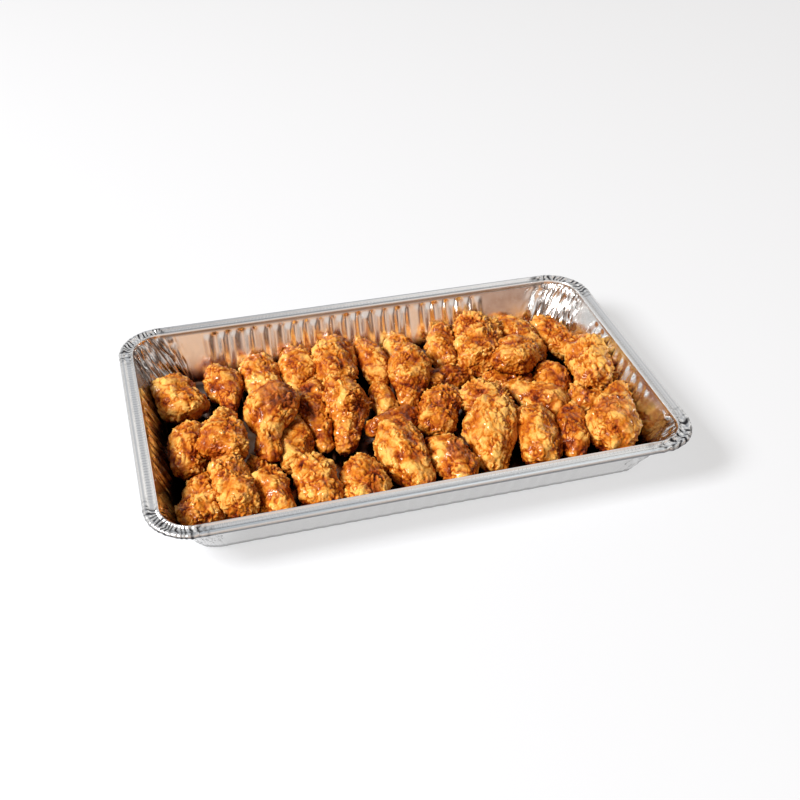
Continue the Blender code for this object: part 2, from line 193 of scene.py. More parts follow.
# The crusts that differ from the plain one
CRUSTS = {
    "wing_01": Crust(7.5, 0.8, 1.3, 1.3, -0.08, 0.0),
    "wing_02": Crust(5.5, 0.6, 0.6, 1.3, 0.2, 0.0),
    "wing_03": Crust(6.5, 0.8, 0.9, 1.3, -0.1, 0.0),
    "wing_05": Crust(6.5, 0.9, 1.1, 1.6, 0.0, 0.1),
    "wing_06": Crust(6.0, 0.7, 0.8, 1.3, 0.15, 0.0),
    "wing_08": Crust(6.2, 1.0, 0.9, 1.2, 0.0, 0.1),
    "wing_10": Crust(5.8, 1.4, 1.1, 1.1, 0.0, 0.2),
    "wing_12": Crust(5.6, 0.8, 0.7, 1.1, 0.0, 0.0),
    "wing_13": CRAGGY,
    "wing_14": Crust(6.4, 1.1, 1.0, 1.2, -0.1, 0.1),
    "wing_15": CRAGGY,
    "wing_16": Crust(6.0, 1.0, 0.9, 1.5, -0.05, 0.45),
    "wing_17": Crust(5.8, 0.8, 0.8, 1.4, 0.35, 0.0),
    "wing_18": Crust(6.4, 0.8, 1.1, 1.8, -0.05, 0.0),
    "wing_19": Crust(6.0, 0.8, 0.9, 2.0, 0.0, 0.35),
    "wing_20": Crust(6.2, 0.8, 0.9, 1.4, 0.35, 0.2),
    "wing_21": RIDGED,
    "wing_22": Crust(5.8, 1.3, 1.1, 1.1, 0.0, 0.2),
    "wing_23": Crust(5.6, 1.2, 1.0, 1.4, 0.25, 0.1),
    "wing_24": Crust(6.2, 0.9, 1.0, 1.3, 0.05, 0.6),
    "wing_25": Crust(6.0, 0.9, 1.2, 2.8, -0.2, 0.0),
    "wing_27": Crust(6.5, 0.9, 0.9, 1.8, 0.5, 0.3),
    "wing_28": PEBBLED,
    "wing_29": Crust(6.2, 1.0, 0.9, 1.3, 0.2, 0.3),
    "wing_31": Crust(6.8, 0.8, 1.0, 1.8, 0.0, 0.95),
    "wing_33": CRAGGY,
    "wing_34": CRAGGY,
    "wing_36": PEBBLED,
    "wing_37": Crust(5.8, 1.2, 0.9, 1.2, 0.05, 0.2),
    "wing_38": CRAGGY,
    "wing_39": Crust(6.2, 0.9, 0.9, 1.3, 0.05, 0.1),
    "wing_41": Crust(6.2, 1.0, 0.9, 1.3, 0.45, 0.3),
    "wing_42": Crust(6.2, 1.0, 0.9, 1.3, 0.3, 0.2),
}


def ease(low, high, value):
    """A smooth step from 0 to 1 between two values."""
    share = min(max((value - low) / (high - low), 0.0), 1.0)
    return share * share * (3 - 2 * share)


def blend(low, high, share):
    """The value a share of the way from one to the other."""
    return low + (high - low) * share


# ---- Shader helpers


def new_material(name):
    """A node material and its Principled BSDF."""
    material = bpy.data.materials.new(name)
    material.use_nodes = True
    return material, material.node_tree.nodes["Principled BSDF"]


class Wires:
    """Short words for placing and joining nodes of one tree."""

    def __init__(self, tree):
        self.tree = tree

    def node(self, kind, **settings):
        made = self.tree.nodes.new(kind)
        for key, value in settings.items():
            setattr(made, key, value)
        return made

    def feed(self, socket, value):
        if isinstance(value, bpy.types.NodeSocket):
            self.tree.links.new(value, socket)
        else:
            socket.default_value = value

    def maths(self, operation, first, second=0.0):
        made = self.node("ShaderNodeMath", operation=operation)
        self.feed(made.inputs[0], first)
        self.feed(made.inputs[1], second)
        return made.outputs[0]

    def swing(self, value, strength):
        """How far a value lies from one half, times a strength."""
        return self.maths("MULTIPLY", self.maths("SUBTRACT", value, 0.5), strength)

    def spread(self, value, low, high, bottom=0.0, top=1.0):
        made = self.node("ShaderNodeMapRange", interpolation_type="SMOOTHSTEP")
        for socket, number in zip(made.inputs, (value, low, high, bottom, top)):
            self.feed(socket, number)
        return made.outputs["Result"]

    def mix(self, share, first, second):
        made = self.node("ShaderNodeMix", data_type="RGBA")
        self.feed(made.inputs["Factor"], share)
        self.feed(made.inputs[6], first)
        self.feed(made.inputs[7], second)
        return made.outputs[2]

    def grain(self, place, scale, detail=2.0, rough=0.5, warp=0.0):
        made = self.node("ShaderNodeTexNoise")
        self.feed(made.inputs["Vector"], place)
        for name, number in (("Scale", scale), ("Detail", detail), ("Roughness", rough),
                             ("Distortion", warp)):
            made.inputs[name].default_value = number
        return made.outputs["Fac"]

    def cells(self, place, scale):
        made = self.node("ShaderNodeTexVoronoi")
        self.feed(made.inputs["Vector"], place)
        made.inputs["Scale"].default_value = scale
        return made.outputs["Distance"]

    def ramp(self, value, *stops):
        made = self.node("ShaderNodeValToRGB")
        ends = made.color_ramp.elements
        while len(ends) < len(stops):
            ends.new(0.5)
        for element, (place, colour) in zip(ends, stops):
            element.position = place
            element.color = (*colour, 1.0)
        self.feed(made.inputs["Fac"], value)
        return made.outputs["Color"]

    def attribute(self, name):
        return self.node("ShaderNodeAttribute", attribute_name=name).outputs["Fac"]

    def place(self):
        return self.node("ShaderNodeTexCoord").outputs["Object"]

    def bump(self, height, distance, strength=1.0):
        made = self.node("ShaderNodeBump")
        made.inputs["Strength"].default_value = strength
        made.inputs["Distance"].default_value = distance
        self.feed(made.inputs["Height"], height)
        return made.outputs["Normal"]


# ---- Materials


def crust_material():
    """Golden fried crust: pale on the crags, red-brown in the crevices partly as painted shade,
    darker on the undersides as painted shade, with an oily sheen.
    """
    material, shader = new_material("fried_crust")
    wires = Wires(material.node_tree)
    place = wires.place()
    crag, toast, blush = (wires.attribute(name) for name in ("crag", "toast", "blush"))
    speckle = wires.grain(place, 520.0, 3.0, 0.55)
    patch = wires.grain(place, 65.0, 4.0, 0.6, 0.4)
    # The crag level darkens the crevices, partly as painted shade
    level = wires.maths("ADD", crag, wires.swing(speckle, 0.28))
    level = wires.maths("ADD", level, wires.swing(patch, 0.95))
    # Toast and the painted shade on the undersides and low parts darken the crust
    level = wires.maths("SUBTRACT", level, wires.maths("MULTIPLY", toast, 0.38))
    golden, reddish = wires.ramp(level, *GOLDEN), wires.ramp(level, *REDDISH)
    wires.feed(shader.inputs["Base Color"], wires.mix(blush, golden, reddish))
    oil = wires.grain(place, 160.0, 2.0, 0.5)
    wires.feed(shader.inputs["Roughness"], wires.spread(oil, 0.3, 0.7, 0.36, 0.60))
    glaze = wires.spread(oil, 0.38, 0.52, 0.85, 0.0)
    glaze = wires.maths("MULTIPLY", glaze, wires.spread(crag, 0.25, 0.55))
    wires.feed(shader.inputs["Coat Weight"], glaze)
    shader.inputs["Coat Roughness"].default_value = 0.13
    shader.inputs["Specular IOR Level"].default_value = 0.25
    shader.inputs["Specular Tint"].default_value = (1.0, 0.62, 0.32, 1.0)
    shader.inputs["Subsurface Weight"].default_value = 0.05
    shader.inputs["Subsurface Radius"].default_value = (1.0, 0.4, 0.1)
    shader.inputs["Subsurface Scale"].default_value = 0.003
    crumbs = wires.maths("SUBTRACT", 1.0, wires.cells(place, 380.0))
    height = wires.maths("ADD", wires.maths("MULTIPLY", crumbs, 0.6), speckle)
    wires.feed(shader.inputs["Normal"], wires.bump(height, 0.0010, 0.5))
    return material


def foil_marks():
    """The look of both faces of the foil: wrinkles, dents and the shelf's pressed dashes, with
    oil, painted shade and a painted cool reflection in its colour.
    """
    group = bpy.data.node_groups.new("foil_marks", "ShaderNodeTree")
    for name in ("Oil_and_shade_mask", "Painted_shade_mask", "Shine"):
        group.interface.new_socket(name, in_out="INPUT", socket_type="NodeSocketFloat")
    for name, kind in (("Color", "Color"), ("Roughness", "Float"), ("Normal", "Vector")):
        group.interface.new_socket(name, in_out="OUTPUT", socket_type="NodeSocket" + kind)
    wires = Wires(group)
    taken, given = wires.node("NodeGroupInput"), wires.node("NodeGroupOutput")
    place = wires.place()
    split = wires.node("ShaderNodeSeparateXYZ")
    wires.feed(split.inputs[0], place)
    long_side = wires.attribute("long_side")
    along_x = wires.maths("MULTIPLY", split.outputs["X"], long_side)
    along_y = wires.maths("MULTIPLY", split.outputs["Y"], wires.maths("SUBTRACT", 1.0, long_side))
    along = wires.maths("MULTIPLY", wires.maths("ADD", along_x, along_y), 2 * pi / DASH_PITCH)
    dashes = wires.spread(wires.maths("SINE", along), -0.2, 0.6)
    dashes = wires.maths("MULTIPLY", dashes, wires.attribute("shelf"))
    wrinkles = wires.grain(place, 140.0, 3.0, 0.5, 0.8)
    dents = wires.grain(place, 30.0, 2.0, 0.5)
    satin = wires.attribute("satin")
    rough = wires.maths("MULTIPLY", wrinkles, wires.spread(satin, 0.0, 1.0, 0.05, 0.012))
    height = wires.maths("ADD", wires.maths("MULTIPLY", dashes, 0.17), rough)
    height = wires.maths("ADD", height, wires.maths("MULTIPLY", dents, 0.25))
    wires.feed(given.inputs["Normal"], wires.bump(height, 0.001, 1.0))
    bright = wires.mix(dents, FOIL_GREY, FOIL_WHITE)
    bright = wires.mix(taken.outputs["Shine"], FOIL_DULL, bright)
    # A painted cool reflection
    bright = wires.mix(wires.attribute("painted_cool_reflection"), bright, FOIL_COOL_REFLECTION)
    # Oil and painted shade, in the oil's brown
    oil_and_shade = wires.spread(dents, 0.25, 0.6, 0.75, 1.0)
    oil_and_shade = wires.maths("MULTIPLY", taken.outputs["Oil_and_shade_mask"], oil_and_shade)
    bright = wires.mix(oil_and_shade, bright, OIL_AND_SHADE_BROWN)
    # Painted shade, in black
    gap = taken.outputs["Painted_shade_mask"]
    wires.feed(given.inputs["Color"], wires.mix(gap, bright, PAINTED_SHADE_BLACK))
    roughness = wires.spread(wrinkles, 0.3, 0.7, 0.13, 0.20)
    roughness = wires.maths("ADD", roughness, wires.maths("MULTIPLY", satin, 0.03))
    roughness = wires.maths("ADD", roughness, wires.maths("MULTIPLY", gap, 0.3))
    wires.feed(given.inputs["Roughness"], roughness)
    return group


def foil_material(name, marks, inside_face):
    """Bright aluminium foil, with oil and painted shade in its pleats, folds and lines on the face
    that the wings lie on, and painted shade at the foot of the other face.
    """
    material, shader = new_material(name)
    wires = Wires(material.node_tree)
    look = wires.node("ShaderNodeGroup", node_tree=marks)
    look.inputs["Shine"].default_value = 1.0 if inside_face else OUTER_SHINE
    if inside_face:
        wires.feed(look.inputs["Oil_and_shade_mask"], wires.attribute("oil_and_shade"))
        wires.feed(look.inputs["Painted_shade_mask"], wires.attribute("gap"))
    else:
        # The outer face takes only the painted shade at its foot
        wires.feed(look.inputs["Painted_shade_mask"], wires.attribute("foot"))
    wires.feed(shader.inputs["Base Color"], look.outputs["Color"])
    wires.feed(shader.inputs["Roughness"], look.outputs["Roughness"])
    wires.feed(shader.inputs["Normal"], look.outputs["Normal"])
    shader.inputs["Metallic"].default_value = 1.0
    return material


def floor_material():
    """A plain pale table top, lit a little from within so that its shadows stay light."""
    material, shader = new_material("pale_floor")
    shader.inputs["Base Color"].default_value = FLOOR_GREY
    shader.inputs["Roughness"].default_value = 0.9
    shader.inputs["Specular IOR Level"].default_value = 0.0
    shader.inputs["Emission Color"].default_value = (1.0, 1.0, 1.0, 1.0)
    shader.inputs["Emission Strength"].default_value = FLOOR_GLOW
    return material


# ---- The foil pan


def stretch_of(side, quarter, first, last, count, run):
    """Stations along one straight stretch of the rim, without its last point."""
    length = abs(last - first)
    return [Station(side, quarter, blend(first, last, step / count), run + length * step / count)
            for step in range(count)]


def pan_stations():
    """Stations round the pan, counter-clockwise from above, closer where the foil is worked."""
    half_x = RIM_LENGTH / 2 - RIM_WALK - OPENING_CORNER
    half_y = RIM_WIDTH / 2 - RIM_WALK - OPENING_CORNER
    long_end = LONG_FLUTES_START + LONG_FLUTES * FLUTE_PITCH
    short_end = SHORT_FLUTES * FLUTE_PITCH / 2
    long_marks = (-half_x, LONG_FLUTES_START, long_end, half_x)
    short_marks = (-half_y, -short_end, short_end, half_y)
    counts = {3: (FLAT_STEPS, LONG_FLUTES * STEPS_A_FLUTE, FLAT_STEPS),
              2: (FLAT_STEPS, SHORT_FLUTES * STEPS_A_FLUTE, FLAT_STEPS)}
    sides = (("right", short_marks, 2), ("far", long_marks[::-1], 3),
             ("left", short_marks[::-1], 2), ("near", long_marks, 3))
    stations = []
    run = 0.0
    for quarter, (side, marks, kind) in enumerate(sides):
        for first, last, count in zip(marks, marks[1:], counts[kind]):
            stations += stretch_of(side, quarter, first, last, count, run)
            run += abs(last - first)
        arc = OPENING_CORNER * pi / 2
        for step in range(CORNER_STEPS):
            turn = (quarter + step / CORNER_STEPS) * pi / 2
            stations.append(Station("corner", quarter, turn, run + arc * step / CORNER_STEPS))
        run += arc
    return stations


def flute(station, share):
    """How far a flute pushes the wall outwards, with an arched end at the top."""
    if station.side == "corner":
        return 0.0
    lengthwise = station.side in ("near", "far")
    start = LONG_FLUTES_START if lengthwise else -SHORT_FLUTES * FLUTE_PITCH / 2
    steps = 2 * (LONG_FLUTES if lengthwise else SHORT_FLUTES)
    step = (station.place - start) / (FLUTE_PITCH / 2)
    number = step + 40 * station.quarter
    step += FLUTE_WANDER * noise.noise(Vector((number / 1.3, 0.5 * share, 3.0)))
    uneven = 1.0 + FLUTE_UNEVENNESS * noise.noise(Vector((number / 2.3, 0.4 * share, 8.0)))
    window = ease(0.0, 1.0, step) * ease(0.0, 1.0, steps - step)
    wave = cos(pi * step)
    wave = (abs(wave) ** 0.75) * (1 if wave > 0 else -1)
    end = FLUTE_END + 0.025 * wave
    reach = 1.0 - ease(end - 0.13, end, share)
    depth = blend(FOOT_FLUTE_DEPTH, FLUTE_DEPTH, share)
    return 0.5 * depth * uneven * wave * window * reach


def corner_nearness(station, reach):
    """1 inside a corner, fading along the straight sides beside it."""
    if station.side == "corner":
        return 1.0
    half = RIM_LENGTH / 2 if station.side in ("near", "far") else RIM_WIDTH / 2
    straight = half - RIM_WALK - OPENING_CORNER
    return 1.0 - ease(0.0, reach, straight - abs(station.place))


def creases(along, rise, seed):
    """How far sharp folds that run up the wall stand out or in, from about -1 to 1."""
    broad = noise.noise(Vector((along / 7.0, rise * 0.9, seed)))
    sharp = noise.noise(Vector((along / 2.6 + 0.8 * broad, rise * 1.6, seed + 9.0)))
    return 1.1 * (2 * abs(broad) - 0.45) + 1.25 * (2 * abs(sharp) - 0.45)


def corner_creases(station, share):
    """The creases of a corner's wall, which lean its own way."""
    along = station.run / MM + CORNER_SLANTS[station.quarter] * 14 * share
    return creases(along, share * 2.2, station.quarter * 3.7)


def fold(station, share):
    """How far the crumpled folds of the corners push the wall outwards."""
    near = corner_nearness(station, FOLD_REACH)
    if near <= 0.0:
        return 0.0
    strength = 0.25 + 0.75 * ease(0.0, 0.35, share)
    fade = 1.0 - 0.75 * ease(0.93, 1.0, share)
    return FOLD_DEPTH * 0.5 * near * strength * fade * corner_creases(station, share)


def fold_shade(station, share):
    """How dark the painted shade in a sharp fold of the corners' walls is, from 0 to 1; it is
    drawn in the oil's brown.
    """
    near = corner_nearness(station, FOLD_REACH)
    if near <= 0.0:
        return 0.0
    sharp = corner_creases(station, share)
    return 0.85 * near * ease(0.05, -0.6, sharp) * ease(0.02, 0.3, share)


def pleat(station, walk):
    """The saw of the rim's corner pleats, from -1 to 1, and how strong it is there."""
    near = corner_nearness(station, CRIMP_REACH)
    if near <= 0.0:
        return 0.0, 0.0
    along = station.run / (OPENING_CORNER * pi / 2 / CRIMPS[station.quarter])
    wander = noise.noise(Vector((along * 0.45, 0.12 * walk / MM, station.quarter * 5.1)))
    saw = 4 * abs(((along + 1.1 * wander) % 1.0) - 0.5) - 1
    strong = 0.5 + 1.1 * abs(noise.noise(Vector((along * 0.37, 3.0, station.quarter * 2.3))))
    section = ease(0.5, 4.0, walk / MM) * (1.0 - 0.5 * ease(10.5, 13.0, walk / MM))
    return saw, near ** 1.2 * strong * section


def crimp(station, walk):
    """How far the rim's corner pleats lift or lower the foil."""
    saw, strength = pleat(station, walk)
    return CRIMP_DEPTH * 0.5 * saw * strength


def pleat_gap(station, walk):
    """How dark the painted shade is in the bottom of a pleat and along the outer curl, from 0 to
    1.
    """
    saw, strength = pleat(station, walk)
    along = station.run / MM
    some = noise.noise(Vector((along / 5.0, walk / MM / 11.0, station.quarter + 7.0)))
    # A painted shadow line along the rim's outer curl
    lip = 0.75 * ease(14.0, 14.7, walk / MM)
    return min(2.0 * strength * ease(0.15, -0.55, saw) * ease(-0.3, 0.0, some) + lip, 1.0)


def oil_and_shade_film(station, row):
    """How much frying oil and painted shade darken the inside: all over the foot, in runs higher
    up.
    """
    foot = 1.0 - ease(0.0, 0.3, row.share)
    if row.walk > 0:
        return 0.0
    if station.side in ("far", "near"):
        return foot
    if station.side == "right":
        wet = RIGHT_OIL_AND_SHADE * ease(0.0, -60 * MM, station.place)
    elif station.side == "left":
        wet = LEFT_OIL_AND_SHADE
    else:
        wet = CORNER_OIL_AND_SHADE[station.quarter]
    runs = noise.noise(Vector((station.run / (5.0 * MM) + 3.0 * row.share, 0.7 * row.share, 12.0)))
    return max(foot, wet * ease(-0.5, 0.25, runs) * (1.0 - 0.6 * ease(0.75, 0.97, row.share)))


def lip_line(station, row):
    """The painted shade line where the wall turns under the lip, from 0 to 1."""
    strength = FAR_LIP_DARK if station.side == "far" else LIP_DARK
    return strength * ease(0.955, 0.99, row.share) * (1.0 - ease(0.3 * MM, 0.7 * MM, row.walk))


def rim_line(station, walk):
    """The two painted dark reflection lines that run along the far and right rims, from 0 to 1."""
    strength = RIM_DARKS.get(station.side, 0.0)
    middle = ease(2.6 * MM, 4.4 * MM, walk) * (1.0 - ease(5.6 * MM, 7.4 * MM, walk))
    return strength * max(MIDDLE_DARK * middle, BEAD_DARK * ease(12.2 * MM, 13.8 * MM, walk))


def slide(station, row):
    """Where a station of a straight stretch lies on a ring, as the corners start elsewhere."""
    lengthwise = station.side in ("near", "far")
    first = LONG_FLUTES_START if lengthwise else -SHORT_FLUTES * FLUTE_PITCH / 2
    last = first + (LONG_FLUTES if lengthwise else SHORT_FLUTES) * FLUTE_PITCH
    straight = (RIM_LENGTH if lengthwise else RIM_WIDTH) / 2 - RIM_WALK - OPENING_CORNER
    end = (row.half_x if lengthwise else row.half_y) - row.corner
    if station.place > last:
        return last + (station.place - last) * (end - last) / (straight - last)
    if station.place < first:
        return first + (station.place - first) * (end + first) / (straight + first)
    return station.place


def dent(station, share):
    """The small slanted crease in the near wall, close to its right end."""
    if station.side != "near":
        return 0.0
    across = (station.place - DENT_PLACE) / (1.5 * MM) - 4.0 * (share - 0.5)
    up = (share - 0.5) / 0.15
    return -DENT_DEPTH * exp(-across * across - up * up)


def ring_point(station, row):
    """One point of a ring of the pan."""
    push = 0.0
    if row.walk <= 0:
        push = flute(station, row.share) + fold(station, row.share) + dent(station, row.share)
    lift = crimp(station, row.walk) if row.walk > 0 else 0.0
    rag = 0.0
    if row.walk > 9 * MM:
        rag = noise.noise(Vector((station.run / (2.6 * MM), row.walk / (6 * MM), 4.0)))
        rag *= RAG_DEPTH * corner_nearness(station, CRIMP_REACH)
    if station.side == "corner":
        middle = (station.quarter + 0.5) * pi / 2
        reach = row.corner + push + rag
        across = (row.half_x - row.corner) * (1 if cos(middle) > 0 else -1)
        along = (row.half_y - row.corner) * (1 if sin(middle) > 0 else -1)
        return Vector((across + reach * cos(station.place), along + reach * sin(station.place),
                       row.height + lift))
    sign = 1 if station.side in ("right", "far") else -1
    if station.side in ("right", "left"):
        return Vector((sign * (row.half_x + push + rag), slide(station, row), row.height + lift))
    return Vector((slide(station, row), sign * (row.half_y + push + rag), row.height + lift))


def wall_row(share):
    """The inside of the wall at a share of the way from its foot to the opening's edge."""
    foot = FOIL + FOOT_RADIUS
    top = PAN_HEIGHT - WALL_TOP_DROP
    return Row(blend(FLOOR_LENGTH / 2, RIM_LENGTH / 2 - RIM_WALK, share),
               blend(FLOOR_WIDTH / 2, RIM_WIDTH / 2 - RIM_WALK, share),
               blend(FLOOR_CORNER, OPENING_CORNER, share), blend(foot, top, share), share, 0.0)


def foot_row(turn):
    """A ring of the round between the floor and the wall, by the angle turned."""
    foot = wall_row(0.0)
    inwards = FOOT_RADIUS * (1.0 - sin(turn))
    return foot._replace(half_x=foot.half_x - inwards, half_y=foot.half_y - inwards,
                         corner=foot.corner - inwards, share=0.0,
                         height=FOIL + FOOT_RADIUS * (1.0 - cos(turn)))


def rim_row(walk, drop):
    """A ring of the rim, by its distance outside the opening and below the top."""
    top = wall_row(1.0)
    return Row(top.half_x + walk, top.half_y + walk, top.corner + walk,
               PAN_HEIGHT - drop, 1.0, walk)


def pan_rows():
    """The rings of the pan, from near the edge of the floor to the curl under the bead."""
    edge = foot_row(0.0)
    inset = edge._replace(half_x=edge.half_x - 5 * MM, half_y=edge.half_y - 5 * MM,
                          corner=edge.corner - 5 * MM, share=0.0)
    rounds = [foot_row(radians(turn)) for turn in (0, 30, 60)]
    walls = [wall_row(share) for share in WALL_SHARES]
    rims = [rim_row(walk * MM, drop * MM) for walk, drop in RIM_SECTION]
    return [inset, *rounds, *walls, *rims]


def add_piece(name, bm, material, slot, *nodes):
    """A finished piece that stands for some nodes of the part."""
    mesh = bpy.data.meshes.new(name)
    bm.to_mesh(mesh)
    bm.free()
    mesh.materials.append(material)
    mesh.shade_smooth()
    piece = bpy.data.objects.new(name, mesh)
    bpy.context.scene.collection.objects.link(piece)
    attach(piece, "root")
    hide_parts(*nodes)
    return piece


def grow_ring(bm, place):
    """Extrude the open edge once and return the new points' stations."""
    rim = [edge for edge in bm.edges if edge.is_boundary]
    grown = bmesh.ops.extrude_edge_only(bm, edges=rim)["geom"]
    fresh = {}
    for vert in (item for item in grown if isinstance(item, bmesh.types.BMVert)):
        joined = (edge.other_vert(vert) for edge in vert.link_edges)
        fresh[vert] = next(place[other] for other in joined if other in place)
    return fresh


def mark_point(vert, layers, station, row):
    """Write the values that the foil's materials read at one point."""
    in_wall = row.walk <= 0
    flat = 1.0 - corner_nearness(station, CRIMP_REACH)
    shelf = flat * ease(2.8 * MM, 4.0 * MM, row.walk) * (1 - ease(7.6 * MM, 9.0 * MM, row.walk))
    # Oil and painted shade on the inside, and painted shade in the corners' folds
    oil = max(oil_and_shade_film(station, row), fold_shade(station, row.share) if in_wall else 0.0)
    # Painted shade in the pleats, and painted shade lines under the lip and along the rims
    gap = max(0.0 if in_wall else pleat_gap(station, row.walk),
              lip_line(station, row), rim_line(station, row.walk))
    vert[layers["shelf"]] = shelf
    vert[layers["long_side"]] = 1.0 if station.side in ("near", "far") else 0.0
    vert[layers["oil_and_shade"]] = oil
    vert[layers["gap"]] = gap
    vert[layers["satin"]] = 1.0 - corner_nearness(station, FOLD_REACH) if in_wall else 0.0
    # Painted shade on the round of the outer foot
    vert[layers["foot"]] = FOOT_DARK * (1.0 - ease(0.0, 0.06, row.share)) if in_wall else 0.0
    # A painted cool reflection on the near rim's outer bead
    vert[layers["painted_cool_reflection"]] = ease(9.0 * MM, 10.5 * MM, row.walk) if station.side == "near" else 0.0


def add_pan(inner, outer):
    """The pan as one sheet of foil, grown from its floor ring by ring."""
    stations = pan_stations()
    rows = pan_rows()
    bm = bmesh.new()
    words = ("shelf", "long_side", "oil_and_shade", "gap", "satin", "foot", "painted_cool_reflection")
    for word in words:
        bm.verts.layers.float.new(word)
    layers = {word: bm.verts.layers.float[word] for word in words}
    made = bmesh.ops.create_circle(bm, cap_ends=True, segments=len(stations), radius=1.0)
    made = list(made["verts"])
    made.sort(key=lambda vert: atan2(vert.co.y, vert.co.x) % (2 * pi))
    place = {vert: index for index, vert in enumerate(made)}
    for number, row in enumerate(rows):
        if number:
            place = grow_ring(bm, place)
        for vert, index in place.items():
            vert.co = ring_point(stations[index], row)
            mark_point(vert, layers, stations[index], row)
    bmesh.ops.recalc_face_normals(bm, faces=bm.faces)
    if max(bm.faces, key=lambda face: face.calc_area()).normal.z < 0:
        bmesh.ops.reverse_faces(bm, faces=bm.faces)
    pan = add_piece("foil_sheet", bm, inner, "foil", "foil_pan")
    pan.data.materials.append(outer)
    shell = pan.modifiers.new("foil", "SOLIDIFY")
    shell.thickness = FOIL
    shell.offset = -1.0
    shell.material_offset = shell.material_offset_rim = 1


# ---- The wings


def smooth_form(node):
    """A rounded, evenly meshed copy of a wing of the part."""
    bm = bmesh.new()
    bm.from_mesh(node.data)
    bmesh.ops.remove_doubles(bm, verts=bm.verts, dist=0.01 * MM)
    bmesh.ops.recalc_face_normals(bm, faces=bm.faces)
    mesh = bpy.data.meshes.new("form")
    bm.to_mesh(mesh)
    bm.free()
    form = bpy.data.objects.new("form", mesh)
    bpy.context.scene.collection.objects.link(form)
    rounding = form.modifiers.new("rounding", "SUBSURF")
    rounding.levels = rounding.render_levels = 2
    even = form.modifiers.new("even", "REMESH")
    even.mode = "VOXEL"
    even.voxel_size = VOXEL
    bpy.context.view_layer.update()
    shown = form.evaluated_get(bpy.context.evaluated_depsgraph_get())
    made = bpy.data.meshes.new_from_object(shown)
    bpy.data.objects.remove(form)
    bpy.data.meshes.remove(mesh)
    fit_to_box(made, *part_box(node.name))
    return made


def fit_to_box(mesh, low, high):
    """Stretch a mesh to a box, as rounding draws it in."""
    count = len(mesh.vertices)
    spots = np.empty(count * 3)
    mesh.vertices.foreach_get("co", spots)
    spots = spots.reshape(count, 3)
    bottom, top = spots.min(axis=0), spots.max(axis=0)
    spots = np.array(low) + (spots - bottom) / (top - bottom) * (np.array(high) - np.array(low))
    mesh.vertices.foreach_set("co", spots.ravel())
    mesh.update()


def long_axis(mesh):
    """The middle of a wing and its heading, from where its points lie."""
    middle = sum((vert.co for vert in mesh.vertices), Vector()) / len(mesh.vertices)
    xx = xy = yy = 0.0
    for vert in mesh.vertices:
        off = vert.co - middle
        xx += off.x * off.x
        xy += off.x * off.y
        yy += off.y * off.y
    return middle, 0.5 * atan2(2 * xy, xx - yy)


def shape_bone_end(mesh, middle, heading, neck, knob):
    """Draw in the neck of a drumstick's bone end and leave a knob beyond it."""
    turn = Matrix.Rotation(-heading, 3, "Z")
    spots = [turn @ (vert.co - middle) for vert in mesh.vertices]
    half = max(abs(spot.x) for spot in spots)
    slices = [[] for _ in range(BONE_SLICES)]
    places = []
    for spot in spots:
        place = min(max((1.0 - spot.x / half) / 2 * (BONE_SLICES - 1), 0.0), BONE_SLICES - 1.001)
        places.append(place)
        slices[round(place)].append(spot)
    cores = [sum(part, Vector()) / max(len(part), 1) for part in slices]
    for vert, spot, place in zip(mesh.vertices, spots, places):
        core = cores[int(place)].lerp(cores[int(place) + 1], place % 1.0)
        along = 2 * place / (BONE_SLICES - 1) - 1
        scale = (1.0 - (1.0 - neck) * exp(-((along - 0.36) / 0.26) ** 2)
                 + (knob - 1.0) * exp(-((along - 0.85) / 0.16) ** 2))
        moved = Vector((spot.x, core.y + (spot.y - core.y) * scale,
                        core.z + (spot.z - core.z) * scale))
        vert.co = middle + turn.transposed() @ moved
    mesh.update()


def sway(spot):
    """A vector of three noise values that are the same in every run."""
    return Vector([noise.noise(spot + shift) for shift in SWAY_SHIFTS])


def relief(spot, crust, seed):
    """Height of the crust in millimetres, and how far a spot stands out of its crevices, which
    sets its colour: the crevices' darkening is partly painted shade.
    """
    shift = Vector((seed * 31.7, seed * 17.3, seed * 11.9))
    bent = spot + shift
    bent = bent + sway(bent / WIDE_SWAY) * WIDE_REACH + sway(bent / FINE_SWAY) * FINE_REACH
    drawn = Vector((bent.x / crust.stretch, bent.y, bent.z))
    lobes = noise.noise(drawn / LOBE_SPAN)
    folds = abs(noise.noise(drawn / FOLD_SPAN + shift))
    knobs = abs(noise.noise(drawn / (KNOB_SPAN * crust.cobble) - shift))
    crumbs = abs(noise.noise(bent / CRUMB_SPAN + shift))
    craggy = ease(-0.35, 0.3, noise.noise(bent / CRAG_SPAN - shift))
    height = LOBE_HEIGHT * lobes + FOLD_HEIGHT * crust.swirls * (folds - RIDGE_MEAN)
    rough = KNOB_HEIGHT * (knobs - RIDGE_MEAN) + CRUMB_HEIGHT * (crumbs - RIDGE_MEAN)
    height += crust.pebbles * (0.55 + 0.85 * craggy) * rough
    # The crevice darkness below is partly the crust's own browning, partly painted shade
    gaps = blend(0.68, 1.0, ease(0.0, 0.12, folds))
    gaps *= blend(1.0 - 0.5 * craggy, 1.0, ease(0.0, 0.17, knobs))
    gaps *= blend(1.0 - 0.25 * craggy, 1.0, ease(0.0, 0.16, crumbs))
    return height - CRUST_SINK, gaps * (0.68 + 0.085 * height)


